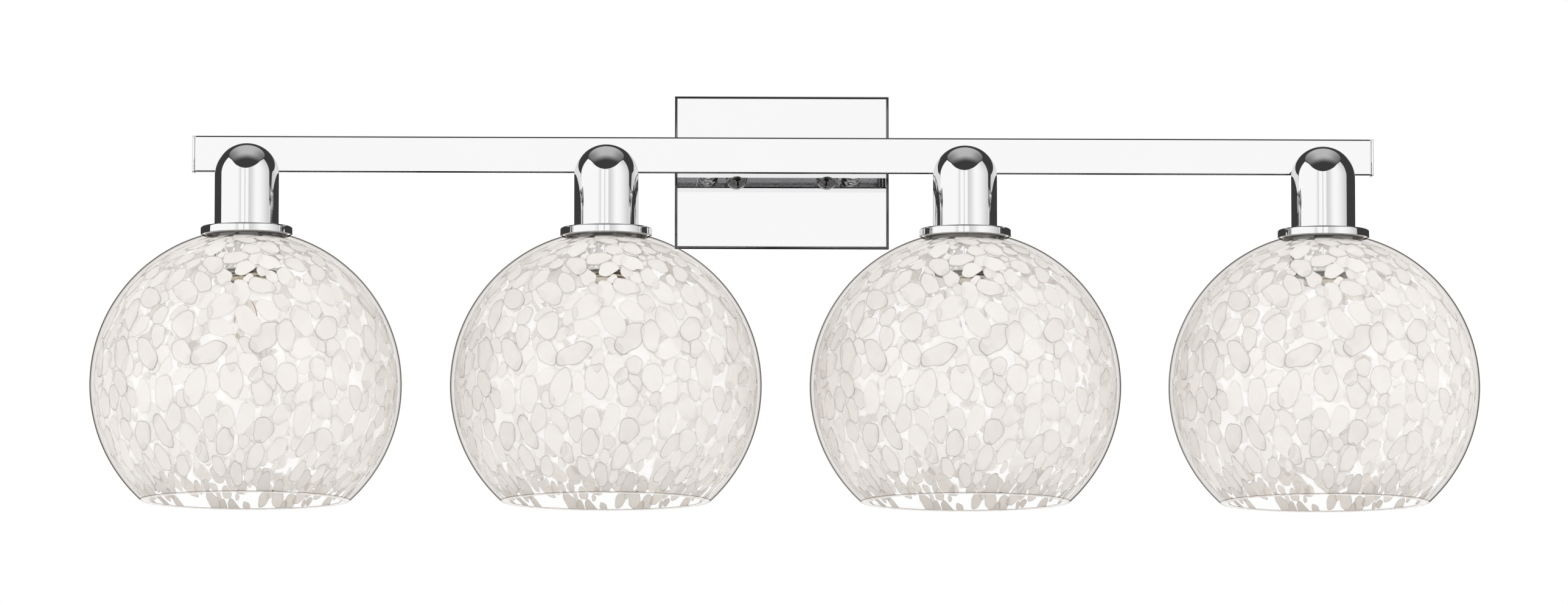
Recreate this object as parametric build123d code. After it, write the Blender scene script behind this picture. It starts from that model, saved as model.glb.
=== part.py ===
from build123d import *

import math
import os

# Vanity light bar: a square bar on a wall backplate carries four lamp holders, each with an open
# glass globe and a clear tubular bulb. Millimetres. The origin is the centre of the backplate's
# back face, on the wall. +X is to the right, +Y goes into the wall and +Z is up.

# ---- Driving dimensions ----
LIGHT_COUNT = 4
LIGHT_PITCH = 234.5
LIGHT_Y = -119.0  # the light axes stand this far out from the wall
GLASS_TOP_Z = -54.2  # flat top of the glass globes

PLATE_WIDTH, PLATE_HEIGHT, PLATE_DEPTH = 142.0, 102.0, 22.0
PLATE_WALL = 1.2
PLATE_EDGE_R = 1.8

BAR_LENGTH, BAR_SIDE, BAR_WALL, BAR_CORNER_R = 778.0, 24.0, 1.5, 1.0
BAR_Y, BAR_Z = -62.0, 5.0
CAP_LIP, CAP_PLUG = 1.5, 7.0
CAP_CLEARANCE = 0.15

STANDOFF_X, STANDOFF_R = 48.0, 7.0
NIPPLE_R, NIPPLE_BORE_R = 4.0, 3.0  # the hollow threaded nipple through each standoff
NIPPLE_CLEARANCE = 0.1
NUT_R, NUT_HEIGHT = 7.5, 3.0
NIPPLE_STICKOUT = 1.5  # beyond each nut

ARM_R, ARM_Z = 5.0, -0.9  # short arm from the bar's front to a lamp holder's dome
ARM_NIPPLE_R, ARM_NIPPLE_BORE_R, ARM_NUT_R = 3.2, 2.45, 5.0
ARM_THREAD = 9.0

BOX_Z = -4.0  # the height of the junction box's centre
STRAP_LENGTH, STRAP_WIDTH, STRAP_THICK = 112.0, 24.0, 2.5
SLOT_SPACING, SLOT_LENGTH, SLOT_R = 88.9, 12.0, 2.3
STUD_X, STUD_R, STUD_END_Y = 30.0, 2.08, -33.0
STUD_HOLE_R = 2.2
STUD_NUT_R, STUD_NUT_HEIGHT = 4.4, 3.0
GROUND_SCREW_X = 12.0

KNOB_R, KNOB_LENGTH = 7.0, 13.0
KNOB_BORE_R = STUD_R + 0.06
WASHER_R, WASHER_THICK = 5.5, 0.6

# One lamp holder. Heights are above the glass's flat top.
COVER_R, COVER_WALL = 21.0, 0.8
DOME_Z = 39.5  # centre of the cover's domed top
DISC_R, DISC_TOP, DISC_HOLE_R = 30.0, 5.4, 20.0
DISC_EDGE_R = 2.0
GASKET_THICK, GASKET_R = 0.8, 25.8

SKIRT_R = 19.8  # threaded outside of the socket, which the shade ring runs on
SKIRT_END = -25.0
SOCKET_TOP, SOCKET_BODY_R = 22.0, 18.0
COLLAR_R, COLLAR_TOP = 20.0, 8.2
SHELL_R, SHELL_WALL, SHELL_TOP = 13.95, 0.5, -3.0
CONTACT_R = 4.0
RIVET_R = 1.6

RING_FLANGE_R, RING_FLANGE = 26.0, 1.8
RING_R, RING_BORE_R, RING_END = 22.3, SKIRT_R + 0.06, -24.0

GLOBE_R, GLOBE_WALL = 101.6, 3.5
GLOBE_TOP = 98.0  # from the globe's centre up to its flat top
GLOBE_RIM = 75.9  # from the globe's centre down to its open rim
GLOBE_HOLE_R = 21.5

# One bulb. Heights are above the glass's flat top.
BASE_END, BASE_THREAD_TOP = -30.8, -9.0
BASE_R, BASE_ROOT_R, THREAD_PITCH = 13.1, 12.45, 3.63
BASE_BORE_R = 11.9
TIP_R, TIP_TOP = 4.6, -3.4
BULB_R, BULB_WALL, BULB_NECK_R = 13.8, 0.9, 11.8
BULB_NECK_TOP, BULB_SHOULDER, BULB_END = -14.0, -37.0, -121.8
STEM_R, STEM_END = 4.6, -49.0
FILAMENT_R = 0.35
FILAMENT_SPREAD, FILAMENT_TOP, FILAMENT_LOW = 7.5, -59.0, -90.0

WIRE_R = 1.05
WIRE_PAIR = 1.25  # half the gap between wires that run through a nipple
WIRE_NUT_R, WIRE_NUT_LENGTH, WIRE_NUT_Z = 5.4, 16.0, 26.0

LIGHT_X = [(k - (LIGHT_COUNT - 1) / 2) * LIGHT_PITCH for k in range(LIGHT_COUNT)]
BAR_FRONT_Y = BAR_Y - BAR_SIDE / 2
BAR_BACK_Y = BAR_Y + BAR_SIDE / 2
DOME_ROW_Z = GLASS_TOP_Z + DOME_Z

os.makedirs("parts", exist_ok=True)


# ---- Helpers ----
def turned(points):
    """A solid of revolution about Z from (radius, height) points."""
    return revolve(Plane.XZ * make_face(Polyline(*points, close=True)), Axis.Z)


def rod(radius, start, end):
    """A round rod from one point to another."""
    run = Vector(*end) - Vector(*start)
    plane = Plane(origin=start, z_dir=run)
    return extrude(plane * Circle(radius), run.length)


def tube(radius, bore, start, end):
    """A hollow round tube from one point to another."""
    run = Vector(*end) - Vector(*start)
    plane = Plane(origin=start, z_dir=run)
    return extrude(plane * (Circle(radius) - Circle(bore)), run.length)


def hex_nut(radius, bore, start, end):
    """A hexagonal nut from one face's centre to the other's."""
    run = Vector(*end) - Vector(*start)
    plane = Plane(origin=start, z_dir=run)
    return extrude(plane * (RegularPolygon(radius, 6, rotation=30) - Circle(bore)), run.length)


def box(low, high):
    """A box between two corners."""
    size = [b - a for a, b in zip(low, high)]
    middle = [(a + b) / 2 for a, b in zip(low, high)]
    return Pos(*middle) * Box(*size)


def wire(points, radii, radius):
    """A wire along straight runs joined by arcs."""
    path = FilletPolyline(*points, radius=radii)
    return sweep(Plane(origin=path @ 0, z_dir=path % 0) * Circle(radius), path=path)


def at_light(solid, x):
    """Moves a solid made about a light's own axis to its place."""
    return Pos(x, LIGHT_Y, GLASS_TOP_Z) * solid


def save(name, *solids):
    """Writes one sub-part, which may be several separate solids."""
    pieces = [piece for solid in solids for piece in solid.solids()]
    shape = pieces[0] if len(pieces) == 1 else Compound(children=pieces)
    shape.label = name
    export_step(shape, f"parts/{name}.step")


# ---- Wall fixing ----
def crossbar():
    """Flat strap that is screwed across the junction box, with two long slots."""
    strap = box(
        (-STRAP_LENGTH / 2, -STRAP_THICK, BOX_Z - STRAP_WIDTH / 2),
        (STRAP_LENGTH / 2, 0, BOX_Z + STRAP_WIDTH / 2),
    )
    strap = fillet(strap.edges().filter_by(Axis.Y), 5)
    slot = Plane.XZ * SlotOverall(SLOT_LENGTH, 2 * SLOT_R)
    for side in (-1, 1):
        cut = Pos(side * SLOT_SPACING / 2, 1, BOX_Z) * extrude(slot, STRAP_THICK + 2)
        strap -= cut
        strap -= rod(STUD_HOLE_R, (side * STUD_X, 1, BOX_Z), (side * STUD_X, -4, BOX_Z))
    return strap - rod(STUD_R, (GROUND_SCREW_X, 1, BOX_Z), (GROUND_SCREW_X, -4, BOX_Z))


def ground_screw():
    """Pan-head earth screw in the strap."""
    head = rod(4.2, (GROUND_SCREW_X, -STRAP_THICK, BOX_Z), (GROUND_SCREW_X, -5.0, BOX_Z))
    shank = rod(STUD_R, (GROUND_SCREW_X, -STRAP_THICK, BOX_Z), (GROUND_SCREW_X, 0, BOX_Z))
    return fillet(head.edges().sort_by(Axis.Y)[0], 1.2) + shank


def stud(side):
    return rod(STUD_R, (side * STUD_X, 0, BOX_Z), (side * STUD_X, STUD_END_Y, BOX_Z))


def stud_nut(side):
    low = (side * STUD_X, -STRAP_THICK, BOX_Z)
    return hex_nut(STUD_NUT_R, STUD_R, low, (low[0], low[1] - STUD_NUT_HEIGHT, low[2]))


def backplate():
    """Open-backed pressed box with rolled front edges."""
    shell = box(
        (-PLATE_WIDTH / 2, -PLATE_DEPTH, -PLATE_HEIGHT / 2),
        (PLATE_WIDTH / 2, 0, PLATE_HEIGHT / 2),
    )
    shell = fillet(shell.faces().sort_by(Axis.Y)[0].edges(), PLATE_EDGE_R)
    shell -= box(
        (PLATE_WALL - PLATE_WIDTH / 2, PLATE_WALL - PLATE_DEPTH, PLATE_WALL - PLATE_HEIGHT / 2),
        (PLATE_WIDTH / 2 - PLATE_WALL, 1, PLATE_HEIGHT / 2 - PLATE_WALL),
    )
    front = -PLATE_DEPTH
    for side in (-1, 1):
        x = side * STUD_X
        shell -= rod(STUD_HOLE_R, (x, front - 1, BOX_Z), (x, front + 3, BOX_Z))
        x = side * STANDOFF_X
        shell -= rod(NIPPLE_R + NIPPLE_CLEARANCE, (x, front - 1, BAR_Z), (x, front + 3, BAR_Z))
    return shell


def knob(side):
    """Round cap nut with stepped rings, which holds the backplate on its stud."""
    base = -PLATE_DEPTH - WASHER_THICK
    profile = [
        (KNOB_BORE_R, 0), (KNOB_R - 0.6, 0), (KNOB_R, 0.6), (KNOB_R, 3.2), (KNOB_R - 1.4, 4.0),
        (KNOB_R - 1.4, 5.2), (KNOB_R - 0.6, 5.8), (KNOB_R - 0.6, 8.6), (KNOB_R - 1.6, 10.8),
        (KNOB_R - 3.4, 12.3), (1.6, KNOB_LENGTH), (0, KNOB_LENGTH), (0, 11.2), (KNOB_BORE_R, 11.2),
    ]
    return Pos(side * STUD_X, base, BOX_Z) * (Rot(90, 0, 0) * turned(profile))


def knob_washer(side):
    x = side * STUD_X
    return tube(WASHER_R, KNOB_BORE_R, (x, -PLATE_DEPTH, BOX_Z), (x, -PLATE_DEPTH - WASHER_THICK, BOX_Z))


# ---- Bar ----
def bar():
    """Square tube with holes for the nipples in its front and back."""
    inside = BAR_SIDE - 2 * BAR_WALL
    section = RectangleRounded(BAR_SIDE, BAR_SIDE, BAR_CORNER_R) - Rectangle(inside, inside)
    half_length = BAR_LENGTH / 2 - CAP_LIP
    body = Pos(0, BAR_Y, BAR_Z) * extrude(Plane.YZ * section, half_length, both=True)
    for x in LIGHT_X:
        low, high = BAR_FRONT_Y - 1, BAR_FRONT_Y + BAR_WALL + 1
        body -= rod(ARM_NIPPLE_R + NIPPLE_CLEARANCE, (x, low, ARM_Z), (x, high, ARM_Z))
    for side in (-1, 1):
        x = side * STANDOFF_X
        low, high = BAR_BACK_Y - BAR_WALL - 1, BAR_BACK_Y + 1
        body -= rod(NIPPLE_R + NIPPLE_CLEARANCE, (x, low, BAR_Z), (x, high, BAR_Z))
    return body


def end_cap(side):
    """Square cap with a plug that is pushed into the bar."""
    inside = BAR_SIDE / 2 - BAR_WALL - CAP_CLEARANCE
    end = side * BAR_LENGTH / 2
    lip_in = end - side * CAP_LIP
    plug_in = lip_in - side * CAP_PLUG
    half = BAR_SIDE / 2
    lip = box(
        (min(end, lip_in), BAR_Y - half, BAR_Z - half), (max(end, lip_in), BAR_Y + half, BAR_Z + half)
    )
    lip = fillet(lip.edges().filter_by(Axis.X), BAR_CORNER_R)
    plug = box(
        (min(plug_in, lip_in), BAR_Y - inside, BAR_Z - inside),
        (max(plug_in, lip_in), BAR_Y + inside, BAR_Z + inside),
    )
    return lip + plug


def standoff(side):
    x = side * STANDOFF_X
    bore = NIPPLE_R + NIPPLE_CLEARANCE
    return tube(STANDOFF_R, bore, (x, -PLATE_DEPTH, BAR_Z), (x, BAR_BACK_Y, BAR_Z))


def standoff_fixings(side):
    """The nipple through a standoff, and its nuts in the backplate and in the bar."""
    x = side * STANDOFF_X
    plate_in = PLATE_WALL - PLATE_DEPTH
    bar_in = BAR_BACK_Y - BAR_WALL
    start = plate_in + NUT_HEIGHT + NIPPLE_STICKOUT
    end = bar_in - NUT_HEIGHT - NIPPLE_STICKOUT
    nipple = tube(NIPPLE_R, NIPPLE_BORE_R, (x, start, BAR_Z), (x, end, BAR_Z))
    nuts = [
        hex_nut(NUT_R, NIPPLE_R, (x, plate_in, BAR_Z), (x, plate_in + NUT_HEIGHT, BAR_Z)),
        hex_nut(NUT_R, NIPPLE_R, (x, bar_in, BAR_Z), (x, bar_in - NUT_HEIGHT, BAR_Z)),
    ]
    return nipple, nuts


def arm(x):
    """Short tube brazed into the back of a lamp holder's dome."""
    body = tube(ARM_R, ARM_NIPPLE_R, (x, BAR_FRONT_Y, ARM_Z), (x, LIGHT_Y, ARM_Z))
    body -= Pos(x, LIGHT_Y, DOME_ROW_Z) * Sphere(COVER_R - COVER_WALL)
    return body.solids().sort_by(SortBy.VOLUME)[-1]


def arm_fixings(x):
    """The nipple that joins an arm to the bar, and its nut inside the bar."""
    bar_in = BAR_FRONT_Y + BAR_WALL
    end = bar_in + NUT_HEIGHT + NIPPLE_STICKOUT
    front = BAR_FRONT_Y - ARM_THREAD
    nipple = tube(ARM_NIPPLE_R, ARM_NIPPLE_BORE_R, (x, end, ARM_Z), (x, front, ARM_Z))
    nut = hex_nut(ARM_NUT_R, ARM_NIPPLE_R, (x, bar_in, ARM_Z), (x, bar_in + NUT_HEIGHT, ARM_Z))
    return nipple, nut


# ---- Lamp holder, about its own axis ----
def socket_cover():
    """Drawn tube with a domed top and a hole for the arm in the dome's back."""
    inside = COVER_R - COVER_WALL
    outer = Pos(0, 0, DOME_Z) * Sphere(COVER_R) + rod(COVER_R, (0, 0, DISC_TOP), (0, 0, DOME_Z))
    hollow = Pos(0, 0, DOME_Z) * Sphere(inside) + rod(inside, (0, 0, DISC_TOP - 1), (0, 0, DOME_Z))
    below = box((-50, -50, DISC_TOP - 50), (50, 50, DISC_TOP))
    height = ARM_Z - GLASS_TOP_Z
    return outer - below - hollow - rod(ARM_R, (0, 0, height), (0, 60, height))


def fitter_disc():
    """Flat disc with a rounded top edge, between the cover and the glass."""
    disc = tube(DISC_R, DISC_HOLE_R, (0, 0, GASKET_THICK), (0, 0, DISC_TOP))
    rim = disc.edges().filter_by(GeomType.CIRCLE).sort_by(SortBy.RADIUS)[-2:]
    return fillet(rim.sort_by(Axis.Z)[-1], DISC_EDGE_R)


def socket_body():
    """Moulded socket: it stands on the disc, and its threaded skirt passes through the glass."""
    cavity = SHELL_R + 0.05
    roof = SHELL_TOP + 1.0
    return turned([
        (RIVET_R, roof), (RIVET_R, SOCKET_TOP), (SOCKET_BODY_R, SOCKET_TOP),
        (SOCKET_BODY_R, COLLAR_TOP), (COLLAR_R, COLLAR_TOP), (COLLAR_R, DISC_TOP),
        (SKIRT_R, DISC_TOP), (SKIRT_R, SKIRT_END), (cavity + 1.5, SKIRT_END),
        (cavity, SKIRT_END + 1.5), (cavity, roof),
    ])


def socket_contacts():
    """The brass screw shell, and the centre contact with its rivet."""
    shell = turned([
        (SHELL_R - SHELL_WALL, SKIRT_END + 2), (SHELL_R, SKIRT_END + 2),
        (SHELL_R, SHELL_TOP), (SHELL_R - SHELL_WALL, SHELL_TOP),
    ])
    roof = SHELL_TOP + 1.0
    contact = rod(CONTACT_R, (0, 0, roof - 0.8), (0, 0, roof))
    rivet = rod(RIVET_R, (0, 0, roof), (0, 0, SOCKET_TOP + 1))
    return shell, contact + rivet


def socket_bracket():
    """Bent strap that holds the socket down on the disc, from the arm's level in the dome."""
    foot = box((-4, -14, SOCKET_TOP), (4, -6, SOCKET_TOP + 1.5))
    riser = box((-4, -15.5, SOCKET_TOP), (4, -14, DOME_Z + 9))
    hole = rod(1.7, (0, -10, SOCKET_TOP - 1), (0, -10, SOCKET_TOP + 3))
    return foot + riser - hole


def bracket_screw():
    head = rod(3.0, (0, -10, SOCKET_TOP + 1.5), (0, -10, SOCKET_TOP + 3.3))
    shank = rod(1.65, (0, -10, SOCKET_TOP), (0, -10, SOCKET_TOP + 1.5))
    return fillet(head.edges().sort_by(Axis.Z)[-1], 0.8) + shank


# ---- Globe and its ring ----
def globe():
    """Blown glass globe: flat ground top with a hole, and an open bottom."""
    centre = -GLOBE_TOP
    inside = GLOBE_R - GLOBE_WALL
    ball = Pos(0, 0, centre) * Sphere(GLOBE_R)
    hollow = Pos(0, 0, centre) * Sphere(inside)
    hollow -= box((-60, -60, -GLOBE_WALL), (60, 60, 60))
    above = box((-60, -60, 0), (60, 60, 60))
    below = box((-150, -150, centre - 200), (150, 150, centre - GLOBE_RIM))
    return ball - hollow - above - below - rod(GLOBE_HOLE_R, (0, 0, -9), (0, 0, 9))


def shade_gaskets():
    """Rubber rings over and under the glass's top."""
    over = tube(GASKET_R, GLOBE_HOLE_R, (0, 0, 0), (0, 0, GASKET_THICK))
    below = -GLOBE_WALL
    under = tube(GASKET_R, GLOBE_HOLE_R, (0, 0, below - GASKET_THICK), (0, 0, below))
    return over, under


def shade_ring():
    """Flanged ring that is turned up the socket's skirt and clamps the glass."""
    top = -GLOBE_WALL - GASKET_THICK
    return turned([
        (RING_BORE_R, top), (RING_FLANGE_R, top), (RING_FLANGE_R, top - RING_FLANGE),
        (RING_R, top - RING_FLANGE), (RING_R, RING_END + 0.8), (RING_R - 0.8, RING_END),
        (RING_BORE_R, RING_END),
    ])


# ---- Bulb ----
def bulb_base():
    """Screw shell with rolled ridges, open at both ends."""
    ridges = int((BASE_THREAD_TOP - BASE_END - 4) / THREAD_PITCH)
    outline = [(BASE_BORE_R, BASE_END), (BASE_R, BASE_END), (BASE_R, BASE_END + 2.5)]
    for k in range(ridges):
        low = BASE_END + 3.2 + k * THREAD_PITCH
        outline += [
            (BASE_ROOT_R, low), (BASE_ROOT_R, low + 0.8),
            (BASE_R, low + 1.8), (BASE_R, low + 2.4),
        ]
    outline += [
        (BASE_ROOT_R, BASE_THREAD_TOP - 1), (BASE_ROOT_R, BASE_THREAD_TOP),
        (BASE_BORE_R, BASE_THREAD_TOP),
    ]
    return turned(outline)


def bulb_tip():
    """Insulator and end contact, which close the base."""
    return turned([
        (0, BASE_THREAD_TOP), (BASE_BORE_R - 0.1, BASE_THREAD_TOP), (TIP_R + 1, TIP_TOP - 1.4),
        (TIP_R, TIP_TOP - 1.4), (TIP_R - 0.8, TIP_TOP - 0.3), (2.5, TIP_TOP), (0, TIP_TOP),
    ])


def bulb_outline(offset):
    """Half outline of the bulb's glass, as a face, with its surface moved inwards by offset."""
    radius, neck = BULB_R - offset, BULB_NECK_R - offset
    end_centre = BULB_END + BULB_R + 1.0
    top, neck_low = BULB_NECK_TOP - offset, BASE_END - 1.0
    line = Polyline((0, top), (neck, top), (neck, neck_low))
    shoulder = Spline(
        (neck, neck_low), (radius, BULB_SHOULDER), tangents=[(0, -1), (0, -1)]
    )
    side = Line((radius, BULB_SHOULDER), (radius, end_centre))
    dome = RadiusArc((radius, end_centre), (0, end_centre - radius), radius)
    axis = Line((0, end_centre - radius), (0, top))
    return Plane.XZ * make_face([line, shoulder, side, dome, axis])


def bulb_glass():
    """Clear tubular bulb with a sealed nub at its end."""
    body = revolve(bulb_outline(0), Axis.Z)
    nub = rod(1.6, (0, 0, BULB_END + 4), (0, 0, BULB_END))
    nub = fillet(nub.edges().sort_by(Axis.Z)[0], 1.4)
    return body + nub - revolve(bulb_outline(BULB_WALL), Axis.Z)


def bulb_mount():
    """Glass stem, the two lead wires, the middle support and the filament."""
    stem = turned([
        (0, -24), (STEM_R, -24), (STEM_R, STEM_END + 8), (2.2, STEM_END), (1.0, STEM_END - 0.5),
        (1.0, FILAMENT_LOW - 1), (0, FILAMENT_LOW - 1),
    ])
    pieces = [stem]
    for side in (-1, 1):
        foot = (side * 1.75, 0, STEM_END + 0.6)
        elbow = (side * FILAMENT_SPREAD, 0, FILAMENT_TOP + 4)
        tip = (side * FILAMENT_SPREAD, 0, FILAMENT_TOP)
        pieces.append(wire([foot, elbow, tip], [2.0], 0.4))
        low = (side * 1.6, 0, FILAMENT_LOW)
        pieces.append(rod(FILAMENT_R, tip, low))
    return pieces


# ---- Leads ----
def leads(x):
    """A light's two leads: from its socket through arm, bar and standoff into the backplate."""
    inward = 1 if x < 0 else -1
    stand = math.copysign(STANDOFF_X, x)
    outer = abs(x) > LIGHT_PITCH
    bar_row = 0 if outer else 1
    made = []
    for nth, side in enumerate((inward, -inward)):
        offset = side * WIRE_PAIR
        along_y = BAR_Y - 3.6 + 2.5 * (2 * bar_row + nth)
        points = [
            (x + side * 8, LIGHT_Y, GLASS_TOP_Z + SOCKET_TOP),
            (x + side * 8, LIGHT_Y, GLASS_TOP_Z + SOCKET_TOP + 8),
            (x + offset, LIGHT_Y, ARM_Z - 9),
            (x + offset, LIGHT_Y, ARM_Z),
            (x + offset, along_y, ARM_Z),
        ]
        radii = [3.0, 3.0, 4.0, 4.0]
        if outer:
            points.append((x + offset, along_y, BAR_Z + 6))
            radii.append(4.0)
        exit_z = BAR_Z + (WIRE_PAIR if outer else -WIRE_PAIR)
        going_up = nth == 0
        first = going_up == outer
        turn_y = -PLATE_DEPTH + (9.0 if first else 11.6)
        exit_x = stand + offset
        end_z = WIRE_NUT_Z if going_up else -WIRE_NUT_Z
        points += [(exit_x, along_y, exit_z), (exit_x, turn_y, exit_z), (exit_x, turn_y, end_z)]
        radii += [3.0, 3.0]
        made.append(wire(points, radii, WIRE_R))
    return made


def wire_nut(x, up):
    """Twist-on connector inside the backplate."""
    cone = turned([
        (0, 0), (WIRE_NUT_R, 0), (WIRE_NUT_R, 4), (WIRE_NUT_R - 2.2, WIRE_NUT_LENGTH - 1),
        (WIRE_NUT_R - 3.2, WIRE_NUT_LENGTH), (0, WIRE_NUT_LENGTH),
    ])
    place = Pos(x, 10.3 - PLATE_DEPTH, WIRE_NUT_Z if up else -WIRE_NUT_Z)
    return place * cone if up else place * (Rot(180, 0, 0) * cone)


# ---- Write every sub-part ----
SIDES = {"left": -1, "right": 1}
save("crossbar", crossbar())
save("ground_screw", ground_screw())
save("mounting_studs", *[stud(side) for side in (-1, 1)])
save("stud_nuts", *[stud_nut(side) for side in (-1, 1)])
save("backplate", backplate())
for word, side in SIDES.items():
    save(f"knob_{word}", knob(side))
    save(f"knob_washer_{word}", knob_washer(side))
save("bar", bar())
save("bar_end_caps", *[end_cap(side) for side in (-1, 1)])
save("bar_standoffs", *[standoff(side) for side in (-1, 1)])
save("bar_arms", *[arm(x) for x in LIGHT_X])

nipples, nuts = [], []
for side in (-1, 1):
    nipple, pair = standoff_fixings(side)
    nipples.append(nipple)
    nuts += pair
for x in LIGHT_X:
    nipple, nut = arm_fixings(x)
    nipples.append(nipple)
    nuts.append(nut)
save("hollow_nipples", *nipples)
save("nipple_nuts", *nuts)

save("socket_contacts", *[at_light(piece, x) for x in LIGHT_X for piece in socket_contacts()])
save("socket_brackets", *[at_light(socket_bracket(), x) for x in LIGHT_X])
save("bracket_screws", *[at_light(bracket_screw(), x) for x in LIGHT_X])
save("lead_wires", *[piece for x in LIGHT_X for piece in leads(x)])
save("wire_nuts", *[
    wire_nut(side * STANDOFF_X + nudge * side * WIRE_PAIR, up)
    for side in (-1, 1) for up, nudge in ((True, -1), (False, 1))
])

per_light = {
    "socket_cover": [socket_cover()],
    "fitter_disc": [fitter_disc()],
    "socket_body": [socket_body()],
    "shade_gaskets": shade_gaskets(),
    "shade_ring": [shade_ring()],
    "glass_shade": [globe()],
    "bulb_tip": [bulb_tip()],
    "bulb_base": [bulb_base()],
    "bulb_glass": [bulb_glass()],
    "bulb_mount": bulb_mount(),
}
for name, pieces in per_light.items():
    for number, x in enumerate(LIGHT_X, 1):
        save(f"{name}_{number}", *[at_light(piece, x) for piece in pieces])
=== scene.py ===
import math
import random

import bmesh
import bpy
import numpy as np
from mathutils import Matrix, Vector


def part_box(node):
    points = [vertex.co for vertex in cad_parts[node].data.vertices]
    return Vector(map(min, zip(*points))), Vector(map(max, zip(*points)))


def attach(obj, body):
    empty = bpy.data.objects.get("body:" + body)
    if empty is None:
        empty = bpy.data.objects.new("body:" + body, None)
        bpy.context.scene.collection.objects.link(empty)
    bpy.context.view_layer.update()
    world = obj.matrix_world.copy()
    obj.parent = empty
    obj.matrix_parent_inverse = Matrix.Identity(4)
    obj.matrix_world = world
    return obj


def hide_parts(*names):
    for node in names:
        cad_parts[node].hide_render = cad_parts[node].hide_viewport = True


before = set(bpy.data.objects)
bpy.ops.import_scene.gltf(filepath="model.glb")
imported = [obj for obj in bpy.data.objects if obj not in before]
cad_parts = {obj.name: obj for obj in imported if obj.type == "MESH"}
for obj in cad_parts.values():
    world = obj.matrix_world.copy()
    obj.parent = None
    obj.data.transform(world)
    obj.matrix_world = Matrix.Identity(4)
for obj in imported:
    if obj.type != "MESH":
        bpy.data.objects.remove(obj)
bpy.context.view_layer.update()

# Vanity light bar: chrome bar and backplate, four lamp holders with flecked glass globes and
# clear tubular bulbs. In the CAD frame: front is -Y and the wall is at Y = 0. Lengths are in
# metres, but for the outlines that round_corners takes and wherever a comment says mm.

MM = 0.001
LIGHTS = (1, 2, 3, 4)
TURN_STEPS = 128  # faces round a turned piece
TINY = 1e-6  # metres, or millimetres in an outline: nearer than this is the same place
scene = bpy.context.scene


def clamp(value):
    """A value kept between 0 and 1."""
    return min(1.0, max(0.0, value))


# ---------------------------------------------------------------- frame measurements
def size_of(node):
    """The lower corner, the upper corner and the size of a CAD node's box."""
    low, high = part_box(node)
    return low, high, high - low


def light_axis(number):
    """X and Y of a light's axis, and the height of its globe's flat top."""
    low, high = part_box(f"glass_shade_{number}")
    return Vector(((low.x + high.x) / 2, (low.y + high.y) / 2, high.z))


def foot_of(node):
    """The middle of the underside of a CAD node's box."""
    low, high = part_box(node)
    return Vector(((low.x + high.x) / 2, (low.y + high.y) / 2, low.z))


# ---------------------------------------------------------------- shader helpers
class Nodes:
    """A short way to write a node tree."""

    def __init__(self, tree):
        self.tree = tree
        tree.nodes.clear()

    def add(self, kind, inputs=None, **settings):
        node = self.tree.nodes.new(kind)
        for key, value in settings.items():
            setattr(node, key, value)
        for key, value in (inputs or {}).items():
            self.feed(node.inputs[key], value)
        return node

    def feed(self, socket, value):
        if isinstance(value, bpy.types.NodeSocket):
            self.tree.links.new(value, socket)
        elif isinstance(value, bpy.types.Node):
            self.tree.links.new(value.outputs[0], socket)
        else:
            socket.default_value = value

    def math(self, operation, a, b=0.0):
        return self.add("ShaderNodeMath", {0: a, 1: b}, operation=operation).outputs[0]

    def times(self, first, *others):
        """The product of all values."""
        for value in others:
            first = self.math("MULTIPLY", first, value)
        return first

    def absolute(self, value):
        """A value without its sign."""
        return self.math("ABSOLUTE", value)

    def step(self, value, low, high, to_low=0.0, to_high=1.0):
        """A smooth step from to_low at low to to_high at high."""
        return self.add(
            "ShaderNodeMapRange", {0: value, 1: low, 2: high, 3: to_low, 4: to_high},
            interpolation_type="SMOOTHSTEP",
        ).outputs[0]

    def mix(self, factor, a, b):
        """A colour between a and b."""
        node = self.tree.nodes.new("ShaderNodeMix")
        node.data_type = "RGBA"
        self.feed(node.inputs[0], factor)
        self.feed(node.inputs[6], a)
        self.feed(node.inputs[7], b)
        return node.outputs[2]

    def noise(self, vector, scale, detail=2.0, roughness=0.5):
        return self.add(
            "ShaderNodeTexNoise",
            {"Vector": vector, "Scale": scale, "Detail": detail, "Roughness": roughness},
        )

    def bump(self, height, strength, distance):
        return self.add(
            "ShaderNodeBump", {"Height": height, "Strength": strength, "Distance": distance}
        ).outputs[0]

    def blend(self, factor, first, second):
        """The first shader at 0, and the second at 1."""
        return self.add("ShaderNodeMixShader", {0: factor, 1: first, 2: second})

    def transparent(self, colour):
        return self.add("ShaderNodeBsdfTransparent", {"Color": colour})

    def gloss(self, roughness, normal):
        """A white reflection."""
        return self.add(
            "ShaderNodeBsdfGlossy", {"Color": (1, 1, 1, 1), "Roughness": roughness, "Normal": normal}
        )


def material(name):
    made = bpy.data.materials.new(name)
    made.use_nodes = True
    return made, Nodes(made.node_tree)


def surface(nodes, shader):
    nodes.add("ShaderNodeOutputMaterial", {"Surface": shader})


def lit_through(n, colour, normal=None):
    """White stuff that light shines on and through in equal parts."""
    inputs = {"Color": colour} if normal is None else {"Color": colour, "Normal": normal}
    front = n.add("ShaderNodeBsdfDiffuse", inputs)
    through = n.add("ShaderNodeBsdfTranslucent", inputs)
    return n.blend(0.5, front, through)


def plain_position(nodes):
    """Row-frame position, which every mesh here holds in its object coordinates."""
    return nodes.add("ShaderNodeTexCoord").outputs["Object"]


def scaled(colour, factor, lift=0.0):
    """A colour made darker or lighter."""
    return [min(1.0, part * factor + lift) for part in colour[:3]] + [1]


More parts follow.
